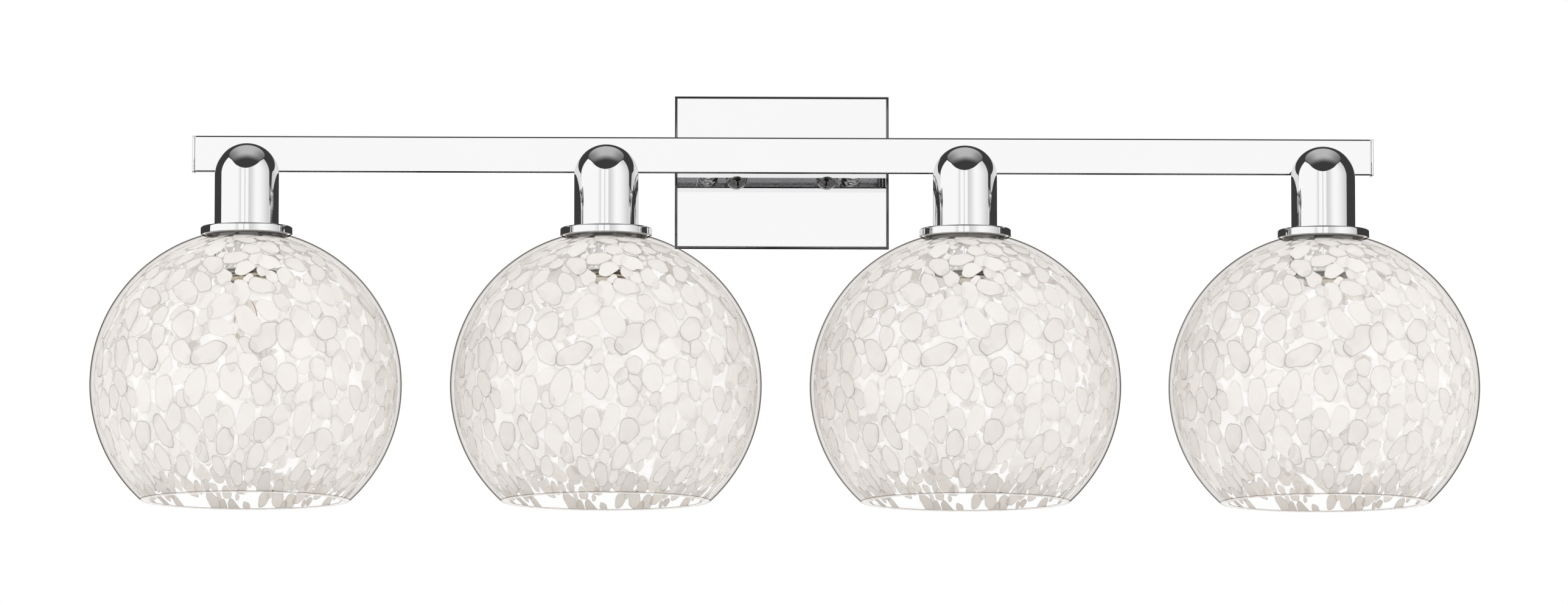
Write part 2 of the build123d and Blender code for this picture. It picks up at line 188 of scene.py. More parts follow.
# ---------------------------------------------------------------- materials
def chrome(name, colour):
    """Polished plate: very slight waviness, and faint wiping marks in the gloss."""
    made, n = material(name)
    at = plain_position(n)
    wiping = n.noise(at, 90.0, 3.0).outputs[0]
    wave = n.noise(at, 9.0, 1.0).outputs[0]
    surface(n, n.add("ShaderNodeBsdfPrincipled", {
        "Base Color": n.mix(n.noise(at, 14.0).outputs[0], colour, scaled(colour, 0.985)),
        "Metallic": 1.0, "Roughness": n.step(wiping, 0.35, 0.75, 0.0175, 0.049),
        "Normal": n.bump(wave, 0.025, 0.002),
    }))
    return made


def plated_steel(name, colour, rough):
    """Dull plating with fine mottling."""
    made, n = material(name)
    mottle = n.noise(plain_position(n), 420.0, 4.0, 0.6).outputs[0]
    surface(n, n.add("ShaderNodeBsdfPrincipled", {
        "Base Color": n.mix(n.step(mottle, 0.35, 0.7), scaled(colour, 0.8), colour),
        "Metallic": 1.0, "Roughness": n.step(mottle, 0.3, 0.7, rough * 0.8, rough * 1.25),
        "Normal": n.bump(mottle, 0.15, 0.0004),
    }))
    return made


def moulded(name, colour, rough):
    """Moulded plastic, rubber or phenolic with a fine grain."""
    made, n = material(name)
    fine = n.noise(plain_position(n), 600.0, 3.0, 0.6).outputs[0]
    surface(n, n.add("ShaderNodeBsdfPrincipled", {
        "Base Color": n.mix(n.step(fine, 0.35, 0.7), colour, scaled(colour, 1.12, 0.004)),
        "Roughness": n.step(fine, 0.3, 0.7, rough * 0.85, rough * 1.2),
        "Normal": n.bump(fine, 0.2, 0.0003),
    }))
    return made


# painted shade: the dark line where glass is seen all but edge on, at its silhouette
PAINTED_SILHOUETTE_SHADE = (0.36, 0.33, 0.30, 1)  # glass seen all but edge on
HEAD_ON_GLOSS = 0.035  # the part of the light that plain glass reflects head on


def thin_glass(name, tint, edge_on_shade, gloss_share):
    """Clear glass seen as a thin skin: what is behind shows through, glossier edge on, darkened edge on by
    painted shade, and with a painted dark line at its silhouette.
    """
    made, n = material(name)
    wave = n.bump(n.noise(plain_position(n), 30.0, 1.0).outputs[0], 0.08, 0.002)
    # how edge on the skin is seen: the same from inside as from outside, because it has no thickness
    facing = n.add("ShaderNodeLayerWeight", {"Blend": 0.5}).outputs["Facing"]
    rise = n.times(n.math("POWER", facing, 5.0), 1.0 - HEAD_ON_GLOSS)
    reflected = n.math("ADD", rise, HEAD_ON_GLOSS)
    # painted shade: what shows through turns to the second colour edge on
    colour = n.mix(n.step(reflected, 0.10, 0.9), tint, edge_on_shade)
    # painted shade: a dark line where the skin is seen almost edge on
    colour = n.mix(n.step(facing, 0.85, 0.90), colour, PAINTED_SILHOUETTE_SHADE)
    share = n.times(reflected, gloss_share)
    surface(n, n.blend(share, n.transparent(colour), n.gloss(0.02, wave)))
    return made


def rim_glass(name):
    """The globe's cut edge, painted pale to stand in for the light it gathers from along the wall, with
    faint streaks.
    """
    made, n = material(name)
    streak = n.noise(plain_position(n), 220.0, 2.0).outputs[0]
    # painted light: the pale colour of the cut edge
    pale = n.mix(n.step(streak, 0.35, 0.7), (0.90, 0.89, 0.875, 1), (0.97, 0.965, 0.955, 1))
    clear = n.transparent((0.99, 0.985, 0.98, 1))
    seen = n.blend(n.step(streak, 0.3, 0.7, 0.55, 0.8), clear, lit_through(n, pale))
    surface(n, n.blend(0.05, seen, n.gloss(0.05, n.bump(streak, 0.1, 0.0003))))
    return made


def gap_light_skin(name):
    """The globe's inner skin: painted light, a white layer in patches that stands in for the light the
    glass throws back across the gaps between the flecks, as far as its attribute says, and clear
    elsewhere.
    """
    made, n = material(name)
    at = plain_position(n)
    gap_light_share = n.add("ShaderNodeAttribute", attribute_name="gap_light_share").outputs["Fac"]
    patch = n.step(n.noise(at, 75.0, 1.0).outputs[0], 0.41, 0.48, 0.2, 1.0)
    cloud = n.noise(at, 160.0, 3.0, 0.6).outputs[0]
    white = n.mix(cloud, (0.990, 0.988, 0.984, 1), (0.995, 0.994, 0.991, 1))
    gap_light = lit_through(n, white, n.bump(cloud, 0.05, 0.0004))
    surface(n, n.blend(n.times(gap_light_share, patch), n.transparent((0.995, 0.994, 0.992, 1)), gap_light))
    return made


def fleck_enamel(name):
    """Cream flecks: each has its own tone, with painted shade where the tone is below 0, and a faint grey
    outline.
    """
    made, n = material(name)
    inside = n.add("ShaderNodeAttribute", attribute_name="fleck_inside").outputs["Fac"]
    tone = n.add("ShaderNodeAttribute", attribute_name="fleck_tone_and_shade").outputs["Fac"]
    cloud = n.noise(plain_position(n), 160.0, 3.0, 0.6).outputs[0]
    shade = n.mix(tone, (0.852, 0.832, 0.810, 1), (0.908, 0.892, 0.874, 1))
    shade = n.mix(n.step(cloud, 0.3, 0.7, 0.0, 0.3), shade, (0.918, 0.905, 0.889, 1))
    # painted shade: flecks near the rim, whose tone is below 0, turn darker
    shade = n.mix(n.step(tone, -1.2, 0.0), (0.78, 0.76, 0.735, 1), shade)
    line = n.mix(n.step(tone, 0.2, 0.8), (0.56, 0.54, 0.52, 1), (0.80, 0.785, 0.765, 1))
    shade = n.mix(n.step(inside, 0.0, 0.09), line, shade)
    bump = n.bump(cloud, 0.05, 0.0004)
    surface(n, n.blend(0.03, lit_through(n, shade, bump), n.gloss(0.2, bump)))
    return made


CHROME = chrome("polished_chrome", (0.78, 0.78, 0.785, 1))
# painted reflection: a dark copy of the chrome stands in for the dark surroundings that edges and knobs
# reflect
CHROME_PAINTED_DARK = chrome("chrome_painted_dark", (0.17, 0.17, 0.175, 1))  # for edges and knobs, which look darker
NICKEL = plated_steel("lamp_base_nickel", (0.66, 0.58, 0.44, 1), 0.22)
ZINC = plated_steel("zinc_plated_steel", (0.62, 0.63, 0.64, 1), 0.34)
BRASS = plated_steel("socket_brass", (0.80, 0.60, 0.28, 1), 0.25)
COPPER = plated_steel("lead_in_copper", (0.62, 0.30, 0.18, 1), 0.3)
GOLD_WIRE = plated_steel("filament", (0.90, 0.62, 0.20, 1), 0.3)
PHENOLIC = moulded("phenolic", (0.020, 0.020, 0.022, 1), 0.38)
INSULATOR = moulded("black_glass", (0.010, 0.010, 0.012, 1), 0.12)
RUBBER = moulded("silicone", (0.72, 0.72, 0.70, 1), 0.5)
NYLON = moulded("nylon", (0.82, 0.81, 0.78, 1), 0.4)
JACKET = moulded("lead_jacket", (0.03, 0.03, 0.03, 1), 0.45)
CONNECTOR = moulded("connector", (0.62, 0.17, 0.03, 1), 0.35)
# the second colour given to each thin glass is the painted shade it takes edge on
CLEAR = thin_glass("clear_casing", (0.997, 0.996, 0.994, 1), (0.72, 0.69, 0.66, 1), 0.14)
POLISHED_RIM = rim_glass("polished_rim")
# painted shade: dark glass for the fine line each side of the globe's rim
RIM_SHADE_LINE = thin_glass("rim_shade_line", (0.56, 0.52, 0.48, 1), (0.45, 0.42, 0.39, 1), 0.2)
BULB_CLEAR = thin_glass("bulb_clear", (0.995, 0.995, 0.995, 1), (0.74, 0.735, 0.73, 1), 0.2)
# painted light: the inner skin's white patches stand in for the light that glass throws back in the gaps
PAINTED_GAP_LIGHT = gap_light_skin("inner_skin_painted_light")
FLECKS = fleck_enamel("cream_flecks")


# ---------------------------------------------------------------- mesh helpers
def add_object(name, mesh, *materials):
    made = bpy.data.objects.new(name, mesh)
    scene.collection.objects.link(made)
    for item in materials:
        mesh.materials.append(item)
    return made


def is_square(face):
    """Whether a face lies square to an axis."""
    return max(abs(part) for part in face.normal) > 0.999


def soften(mesh, degrees=32.0, flat_sides=False):
    """Smooth shading with sharp edges kept; flat_sides keeps the big square-on faces truly flat."""
    mesh.shade_smooth()
    mesh.set_sharp_from_angle(angle=math.radians(degrees))
    if flat_sides:
        for face in mesh.polygons:
            face.use_smooth = not is_square(face)


def round_corners(points, steps=6):
    """An outline from (radius, height, corner radius) points in mm, with its corners rounded."""
    outline = []
    for k, (r, z, corner) in enumerate(points):
        here = Vector((r, z))
        back = Vector(points[k - 1][:2]) - here
        ahead = Vector(points[(k + 1) % len(points)][:2]) - here
        if corner <= 0 or back.length < TINY or ahead.length < TINY:
            outline.append(here * MM)
            continue
        back_way, ahead_way = back.normalized(), ahead.normalized()
        half = back_way.angle(ahead_way) / 2
        cut = min(corner / math.tan(half), back.length * 0.49, ahead.length * 0.49)
        radius = cut * math.tan(half)
        middle = here + (back_way + ahead_way).normalized() * (radius / math.sin(half))
        start = (here + back_way * cut) - middle
        end = (here + ahead_way * cut) - middle
        sweep = start.angle_signed(end)
        for step in range(steps + 1):
            turned = start.copy()
            turned.rotate(Matrix.Rotation(-sweep * step / steps, 2))
            outline.append((middle + turned) * MM)
    return outline


def finished(bm, name, degrees=32.0, flat_sides=False):
    """A softened mesh from a bmesh, which is freed."""
    mesh = bpy.data.meshes.new(name)
    bm.to_mesh(mesh)
    bm.free()
    soften(mesh, degrees, flat_sides)
    return mesh


def lathe(name, outline, centre, *materials, axis=(0, 0, 1), closed=True, slots=None, steps=TURN_STEPS):
    """A turned piece. outline holds (radius, height) points in metres; slots gives a material
    index for each stretch between points."""
    bm = bmesh.new()
    rings = []
    turn = Vector((0, 0, 1)).rotation_difference(Vector(axis)).to_matrix().to_4x4()
    placed = Matrix.Translation(centre) @ turn
    for r, z in outline:
        if r < TINY:
            rings.append([bm.verts.new(placed @ Vector((0, 0, z)))])
            continue
        ring = []
        for k in range(steps):
            angle = 2 * math.pi * k / steps
            ring.append(bm.verts.new(placed @ Vector((r * math.cos(angle), r * math.sin(angle), z))))
        rings.append(ring)
    for i in range(len(rings) if closed else len(rings) - 1):
        a, b = rings[i], rings[(i + 1) % len(rings)]
        if len(a) == 1 and len(b) == 1:
            continue
        for k in range(steps):
            j = (k + 1) % steps
            corners = [a[k % len(a)], a[j % len(a)], b[j % len(b)], b[k % len(b)]]
            face = bm.faces.new(list(dict.fromkeys(corners)))
            if slots:
                face.material_index = slots[i]
    bmesh.ops.recalc_face_normals(bm, faces=bm.faces)
    return add_object(name, finished(bm, name), *materials)


def on_circle(centre_z, radius, angle):
    """An outline point on a circle about the axis, at a polar angle."""
    return abs(radius * math.sin(angle)), centre_z + radius * math.cos(angle)


def arc(centre_z, radius, start, end, steps):
    """Outline points on such a circle, from one polar angle to another."""
    return [on_circle(centre_z, radius, start + (end - start) * k / steps) for k in range(steps + 1)]


def plain_box(low, high):
    """A bmesh box between two corners."""
    bm = bmesh.new()
    bmesh.ops.create_cube(bm, size=1.0)
    for vertex in bm.verts:
        for axis in range(3):
            middle, span = (low[axis] + high[axis]) / 2, high[axis] - low[axis]
            vertex.co[axis] = middle + vertex.co[axis] * span
    return bm


def bevelled_box(name, low, high, width, segments, *materials):
    """A box with rounded edges; a second material goes on the edges along X."""
    bm = plain_box(low, high)
    bmesh.ops.bevel(
        bm, geom=list(bm.edges), offset=width, segments=segments, profile=0.5, affect="EDGES"
    )
    mesh = finished(bm, name, 40, flat_sides=True)
    if len(materials) > 1:
        for face in mesh.polygons:
            face.material_index = int(abs(face.normal.x) < 0.1 and not is_square(face))
    return add_object(name, mesh, *materials)


def wire(name, points, radius, finish, resolution=2):
    """A round wire through points, as a mesh."""
    curve = bpy.data.curves.new(name + "_path", "CURVE")
    curve.dimensions = "3D"
    curve.bevel_depth = radius
    curve.bevel_resolution = resolution
    curve.use_fill_caps = True
    spline = curve.splines.new("POLY")
    spline.points.add(len(points) - 1)
    for point, co in zip(spline.points, points):
        point.co = (*co, 1)
    holder = bpy.data.objects.new(name + "_path", curve)
    scene.collection.objects.link(holder)
    bpy.context.view_layer.update()
    shape = holder.evaluated_get(bpy.context.evaluated_depsgraph_get())
    mesh = bpy.data.meshes.new_from_object(shape)
    bpy.data.objects.remove(holder)
    mesh.name = name
    mesh.materials.clear()
    soften(mesh, 50)
    return add_object(name, mesh, finish)


def joined(name, pieces):
    """One object from several."""
    bpy.ops.object.select_all(action="DESELECT")
    for piece in pieces:
        piece.select_set(True)
    bpy.context.view_layer.objects.active = pieces[0]
    bpy.ops.object.join()
    pieces[0].name = name
    pieces[0].data.name = name
    return pieces[0]


def sheet(shell, thickness):
    """Gives a bare shell its thickness, inwards."""
    thick = shell.modifiers.new("sheet", "SOLIDIFY")
    thick.thickness = thickness
    thick.offset = -1
    return thick


def place(piece, body, node):
    """Says which body a piece rides on, and hides the CAD node that it stands for."""
    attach(piece, body)
    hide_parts(node)


# ---------------------------------------------------------------- wall fixing and bar
def build_backplate():
    """Pressed box: open back, rounded front edges that meet in mitred corners."""
    low, high, _ = size_of("backplate")
    wall, edge = 1.2 * MM, 1.8 * MM
    bm = plain_box(low, high)
    front = [e for e in bm.edges if all(v.co.y < low.y + TINY for v in e.verts)]
    bmesh.ops.bevel(bm, geom=front, offset=edge, segments=8, profile=0.5, affect="EDGES")
    back = [f for f in bm.faces if f.calc_center_median().y > high.y - TINY]
    bmesh.ops.delete(bm, geom=back, context="FACES")
    mesh = finished(bm, "backplate_shell", 40, flat_sides=True)
    # painted reflection: the rounded front edges get the dark copy of the chrome
    for face in mesh.polygons:
        face.material_index = int(not is_square(face))
    shell = add_object("backplate_shell", mesh, CHROME, CHROME_PAINTED_DARK)
    sheet(shell, wall).use_rim = True
    place(shell, "fixture", "backplate")


def build_bar():
    """Square tube with a pushed-in cap at each end."""
    low, high, _ = size_of("bar")
    cap_low, cap_high, _ = size_of("bar_end_caps")
    # painted reflection: the dark copy of the chrome goes on the rounded edges along X
    bar = bevelled_box("bar_tube", low, high, 1.0 * MM, 6, CHROME, CHROME_PAINTED_DARK)
    place(bar, "fixture", "bar")
    for word, start, end in (("left", cap_low.x, low.x), ("right", high.x, cap_high.x)):
        corner_low, corner_high = Vector(cap_low), Vector(cap_high)
        corner_low.x, corner_high.x = start, end
        cap = bevelled_box(f"bar_cap_{word}", corner_low, corner_high, 0.5 * MM, 4, CHROME)
        place(cap, "fixture", "bar_end_caps")


def build_standoffs():
    """Turned posts with a collar at each end."""
    low, high, span = size_of("bar_standoffs")
    radius, length = span.z / 2 / MM, span.y / MM
    bore, waist, collar, slope = 4.1, radius - 0.6, 3.0, 0.5
    outline = round_corners([
        (bore, 0, 0), (radius, 0, 0.6), (radius, collar, 0.4), (waist, collar + slope, 0.3),
        (waist, length - collar - slope, 0.3), (radius, length - collar, 0.4),
        (radius, length, 0.6), (bore, length, 0),
    ])
    for word, x in (("left", low.x + span.z / 2), ("right", high.x - span.z / 2)):
        centre = Vector((x, low.y, (low.z + high.z) / 2))
        piece = lathe(f"standoff_{word}", outline, centre, CHROME, axis=(0, 1, 0))
        place(piece, "fixture", "bar_standoffs")


def build_knob(word):
    """Cap nut with stepped rings and a domed end."""
    low, high, span = size_of(f"knob_{word}")
    r, length = span.x / 2 / MM, span.y / MM
    hole, hole_depth = 2.14, 11.2
    outline = round_corners([
        (hole, 0, 0), (r - 0.6, 0, 0.2), (r, 0.6, 0.4), (r, 3.2, 0.5),
        (r - 1.4, 4.0, 0.4), (r - 1.4, 5.2, 0.4), (r - 0.6, 5.8, 0.4),
        (r - 0.6, 8.6, 1.2), (r - 1.6, 10.8, 1.0), (r - 3.4, 12.3, 1.0),
        (1.6, length, 0.8), (0, length, 0), (0, hole_depth, 0), (hole, hole_depth, 0),
    ], 8)
    centre = Vector(((low.x + high.x) / 2, high.y, (low.z + high.z) / 2))
    # painted reflection: the whole knob is in the dark copy of the chrome
    piece = lathe(f"cap_knob_{word}", outline, centre, CHROME_PAINTED_DARK, axis=(0, -1, 0), steps=96)
    place(piece, f"knob_{word}", f"knob_{word}")


# ---------------------------------------------------------------- lamp holders
def build_cover(number):
    """Drawn tube with a domed top."""
    node = f"socket_cover_{number}"
    _, _, span = size_of(node)
    radius, wall = span.x / 2, 0.8 * MM
    dome = span.z - radius
    outer = arc(dome, radius, 0, math.pi / 2, 40)
    foot = [(radius, 0.4 * MM), (radius - 0.3 * MM, 0), (radius - wall, 0)]
    inner = arc(dome, radius - wall, math.pi / 2, 0, 24)
    piece = lathe(
        f"holder_cover_{number}", outer + foot + inner, foot_of(node), CHROME, closed=False
    )
    place(piece, "fixture", node)


def build_arm(number):
    """Short arm with a small collar against the bar."""
    low, high, span = size_of("bar_arms")
    axis = light_axis(number)
    _, cover_high, cover = size_of(f"socket_cover_{number}")
    height = (low.z + high.z) / 2
    rise = height - (cover_high.z - cover.x / 2)
    sunk = 4 * MM  # how far it runs into the cover
    reach = math.sqrt((cover.x / 2) ** 2 - rise ** 2) - sunk
    length = (high.y - (axis.y + reach)) / MM
    radius, bore = span.z / 2 / MM, 3.3
    collar = radius + 1.2
    outline = round_corners([
        (bore, 0, 0), (collar, 0, 0.3), (collar, 2.0, 0.6), (radius, 2.6, 0.3),
        (radius, length, 0), (bore, length, 0),
    ])
    centre = Vector((axis.x, high.y, height))
    piece = lathe(f"arm_{number}", outline, centre, CHROME, axis=(0, -1, 0), steps=64)
    place(piece, "fixture", "bar_arms")


def build_disc(number):
    """Flat disc with a rounded top edge, and a turned-down lip that meets the curve of the glass."""
    node = f"fitter_disc_{number}"
    _, _, span = size_of(node)
    radius, thick = span.x / 2 / MM, span.z / MM
    bore, lip = 20.0, 0.7
    outline = round_corners([
        (bore, 0, 0), (radius - 1.4, 0, 0), (radius - 1.2, -lip, 0.1), (radius, -lip, 0.4),
        (radius, thick, 1.1), (bore, thick, 0.2),
    ], 10)
    place(lathe(f"disc_{number}", outline, foot_of(node), CHROME), "fixture", node)


def build_ring(number):
    """Flanged ring with a groove round its barrel and a rolled lower lip."""
    node = f"shade_ring_{number}"
    _, _, span = size_of(node)
    flange, top = span.x / 2 / MM, span.z / MM
    barrel, bore, under = 22.3, 19.86, top - 1.8
    outline = round_corners([
        (bore, top, 0.2), (flange, top, 0.4), (flange, under, 0.6), (barrel, under, 0.5),
        (barrel, 3.6, 0.2), (barrel - 0.4, 3.2, 0.2), (barrel - 0.4, 2.8, 0.2), (barrel, 2.4, 0.2),
        (barrel, 0, 0.8), (bore, 0, 0.3),
    ])
    piece = lathe(f"clamp_ring_{number}", outline, foot_of(node), CHROME)
    place(piece, f"ring_{number}", node)


# ---------------------------------------------------------------- globes
GLOBE_R, GLOBE_WALL, GLOBE_HOLE = 101.6 * MM, 3.5 * MM, 21.5 * MM
GLOBE_TOP, GLOBE_RIM = 98.0 * MM, 75.9 * MM  # flat top above, and rim below, the globe's centre
# how much painted light the inner skin shows between the flecks, at most and at least
GAP_LIGHT_MOST, GAP_LIGHT_LEAST = 0.8, 0.12


def ramp(low, high, value, start=0.0):
    """start at low, rising to GAP_LIGHT_MOST at high."""
    return start + (GAP_LIGHT_MOST - start) * clamp((value - low) / (high - low))


def gap_light_at(height):
    """How much painted light the inner skin shows, by height in mm above the globe's centre."""
    rim = -GLOBE_RIM / MM
    below_ring = ramp(66.0, 46.0, height, GAP_LIGHT_LEAST)
    above_rim = ramp(rim + 12.0, rim + 34.0, height)
    crown = ramp(90.0, 94.0, height)
    return max(min(below_ring, above_rim), crown)


def build_globe(number):
    """Clear casing; an inner skin whose painted light whitens the gaps between the flecks; and a
    fire-polished rim, painted pale, with a fine line of painted shade each side.
    """
    axis = light_axis(number)
    inner = GLOBE_R - GLOBE_WALL
    start, end = math.acos(GLOBE_TOP / GLOBE_R), math.pi - math.acos(GLOBE_RIM / GLOBE_R)
    inner_end = math.pi - math.acos(GLOBE_RIM / inner)
    inner_start = math.acos((GLOBE_TOP - GLOBE_WALL) / inner)
    # radians short of the rim, where the fine lines of painted shade begin and where the rounded lip does
    line_out, line_in, lip_edge = 0.013, 0.014, 0.006
    outside = arc(0, GLOBE_R, start, end - line_out, 110) + [on_circle(0, GLOBE_R, end - lip_edge)]
    inside = [on_circle(0, inner, inner_end - lip_edge)]
    inside += arc(0, inner, inner_end - line_in, inner_start, 110)
    lip_out, lip_in, bulge = Vector(outside[-1]), Vector(inside[0]), 1.3 * MM
    lip = []
    for k in range(1, 12):
        t = k / 12
        point = lip_out.lerp(lip_in, t)
        lip.append((point.x, max(-GLOBE_RIM, point.y - bulge * math.sin(math.pi * t))))
    low_edge, chamfer = GLOBE_TOP - GLOBE_WALL, 0.4 * MM
    neck = [
        (GLOBE_HOLE + chamfer, low_edge), (GLOBE_HOLE, low_edge + chamfer),
        (GLOBE_HOLE, GLOBE_TOP - chamfer), (GLOBE_HOLE + chamfer, GLOBE_TOP),
    ]
    centre = Vector((axis.x, axis.y, axis.z - GLOBE_TOP))
    outline = outside + lip + inside + neck
    first, last = len(outside) - 1, len(outside) + len(lip)
    casing, rim, gap_light, line = range(4)
    slots = [casing if k < first else rim if k < last else gap_light for k in range(len(outline))]
    # the fine lines of painted shade each side of the rim
    slots[first - 1] = slots[last] = line
    piece = lathe(
        f"globe_{number}", outline, centre, CLEAR, POLISHED_RIM, PAINTED_GAP_LIGHT, RIM_SHADE_LINE, slots=slots, steps=192
    )
    # painted light on the inner skin, by height
    gap_light_share = [gap_light_at((vertex.co.z - centre.z) / MM) for vertex in piece.data.vertices]
    piece.data.attributes.new("gap_light_share", "FLOAT", "POINT").data.foreach_set("value", gap_light_share)
    place(piece, f"shade_{number}", f"glass_shade_{number}")


FLECK_COUNT, FLECK_POINTS = 860, 20
FLECK_TRIES = 14  # places looked at for each fleck
FLECK_R = GLOBE_R - GLOBE_WALL + 0.35 * MM  # innermost flecks
FLECK_SPREAD, FLECK_THICK = 0.9 * MM, 0.15 * MM
FLECKS_START, FLECKS_END = math.radians(14), math.radians(139)  # from the globe's top
SPARSE_START = 127  # degrees from the globe's top


def fleck_axes(polar, around, lean):
    """At a place on the globe, the ways outwards, along a fleck and across it."""
    out = np.array([
        math.sin(polar) * math.cos(around), math.sin(polar) * math.sin(around), math.cos(polar)
    ])
    north = np.array([
        -math.cos(polar) * math.cos(around), -math.cos(polar) * math.sin(around), math.sin(polar)
    ])
    east = np.array([-math.sin(around), math.cos(around), 0.0])
    along = north * math.cos(lean) + east * math.sin(lean)
    across = east * math.cos(lean) - north * math.sin(lean)
    return out, along, across


def random_fleck(draw, width):
    """A place, half length, half width and lean: smaller near the hole, and smaller, slimmer
    and more upright towards the rim."""
    polar = math.acos(draw.uniform(math.cos(FLECKS_END), math.cos(FLECKS_START)))
    around = draw.uniform(-math.pi, math.pi)
    # fall is 0 down to the globe's widest and about 1 at its rim; lift is 1 at the top's first flecks
    fall = max(0.0, (polar - math.pi / 2) / math.radians(48))
    lift = max(0.0, (math.radians(60) - polar) / math.radians(46))
    slim = 1 - 0.32 * clamp((fall - 0.62) / 0.25)
    size = width * (1 - 0.22 * fall - 0.16 * lift) * slim
    length = size * (draw.uniform(1.2, 1.9) + 0.7 * fall * fall) / slim ** 0.5
    tilt = draw.uniform(-1.0, 1.0) * (1 - min(1.0, 1.3 * fall))
    lean = tilt + draw.uniform(-0.22, 0.22) + 0.14 * fall
    return polar, around, length, size, lean


def room_for(fleck, placed, spans):
    """How far a fleck is from the nearest placed one, where 1 is just touching."""
    polar, around, length, size, lean = fleck
    out, along, across = fleck_axes(polar, around, lean)
    gap = (placed - out) * FLECK_R
    long, wide = length + spans[:, 0], size + spans[:, 1]
    away = np.sqrt((gap @ along / long) ** 2 + (gap @ across / wide) ** 2 + (gap @ out / wide) ** 2)
    return away.min(initial=np.inf)


def fleck_layout():
    """Flecks as (polar angle, angle round, half length, half width, lean, depth, tone), placed
    largest first, each at the emptiest of several random places; a tone below 0 is painted shade."""
    draw = random.Random(31)
    placed, spans = np.zeros((FLECK_COUNT, 3)), np.zeros((FLECK_COUNT, 2))
    flecks = []
    for k in range(FLECK_COUNT):
        small = k / FLECK_COUNT
        width = (2.5 + 5.2 * (1 - small) ** 1.1) * MM
        tries = [random_fleck(draw, width) for _ in range(FLECK_TRIES)]
        rooms = [room_for(fleck, placed[:k], spans[:k]) for fleck in tries]
        best = tries[rooms.index(max(rooms))]
        polar, around, length, size, lean = best
        placed[k], spans[k] = fleck_axes(polar, around, lean)[0], (length, size)
        depth = 0.55 * (1 - small) + 0.45 * draw.random()
        chance, tone, past = draw.random(), draw.random(), math.degrees(polar) - SPARSE_START
        # near the rim some are left out, and the tone falls below 0, which paints shade on the flecks
        # there
        if chance > (0.0 if past < 0 else 0.12 if past < 4 else 0.26):
            flecks.append((*best, depth, tone - min(1.3, max(0.0, past / 7))))
    return flecks


def fleck_mesh(flecks):
    """All flecks of a globe as thin closed lenses, about the globe's centre."""
    draw = random.Random(7)
    points, faces, inside, tones = [], [], [], []
    lowest = -GLOBE_RIM + 0.9 * MM
    for polar, around, length, size, lean, depth, tone in flecks:
        out, along, across = map(Vector, fleck_axes(polar, around, lean))
        radius = FLECK_R + FLECK_SPREAD * depth
        swell = [
            (order, draw.uniform(0.03, 0.16 / order ** 0.5), draw.uniform(0, 2 * math.pi))
            for order in (2, 3, 5)
        ]
        first = len(points)
        points += [out * radius, out * (radius - FLECK_THICK)]
        inside += [1.0, 1.0]
        for k in range(FLECK_POINTS):
            angle = 2 * math.pi * k / FLECK_POINTS
            reach = 1 + sum(amount * math.sin(order * angle + phase) for order, amount, phase in swell)
            spot = out * radius + along * (length * reach * math.cos(angle))
            spot += across * (size * reach * math.sin(angle))
            spot = spot.normalized() * (radius - FLECK_THICK * 0.4)
            if spot.z < lowest:  # slid round the globe to stay above its rim
                flat = math.hypot(spot.x, spot.y)
                wide = math.sqrt(spot.length_squared - lowest * lowest)
                spot = Vector((spot.x * wide / flat, spot.y * wide / flat, lowest))
            points.append(spot)
            inside.append(0.0)
        for k in range(FLECK_POINTS):
            here, after = first + 2 + k, first + 2 + (k + 1) % FLECK_POINTS
            faces += [(first, here, after), (first + 1, after, here)]
        tones += [tone] * (FLECK_POINTS + 2)
    mesh = bpy.data.meshes.new("flecks")
    mesh.from_pydata([tuple(p) for p in points], [], faces)
    mesh.update()
    for name, values in (("fleck_inside", inside), ("fleck_tone_and_shade", tones)):
        mesh.attributes.new(name, "FLOAT", "POINT").data.foreach_set("value", values)
    mesh.shade_smooth()
    rims = mesh.attributes.new("sharp_edge", "BOOLEAN", "EDGE")
    rims.data.foreach_set("value", [
        inside[edge.vertices[0]] + inside[edge.vertices[1]] < 0.5 for edge in mesh.edges
    ])
    return mesh


def build_flecks():
    """The same scatter of flecks in each globe's wall."""
    pattern = fleck_mesh(fleck_layout())
    for number in LIGHTS:
        axis = light_axis(number)
        mesh = pattern.copy()
        mesh.transform(Matrix.Translation((axis.x, axis.y, axis.z - GLOBE_TOP)))
        piece = add_object(f"flecks_{number}", mesh, FLECKS)
        place(piece, f"shade_{number}", f"glass_shade_{number}")
    bpy.data.meshes.remove(pattern)


# ---------------------------------------------------------------- bulbs
# heights in mm from the globe's flat top, and widths in mm
NECK_END, SHOULDER = -31.8, -37.0
STEM_TOP, STEM_END = -24.0, -49.0
LEADS_END, ANCHORS = -59.0, -90.0  # where the filament's ends and its middle are held
LEAD_SPREAD, HOOK_R = 7.5, 0.6  # from the bulb's axis to a lead's end, and the hook's radius
THREAD_PITCH, THREAD_ROOT = 3.63 * MM, 12.45 * MM


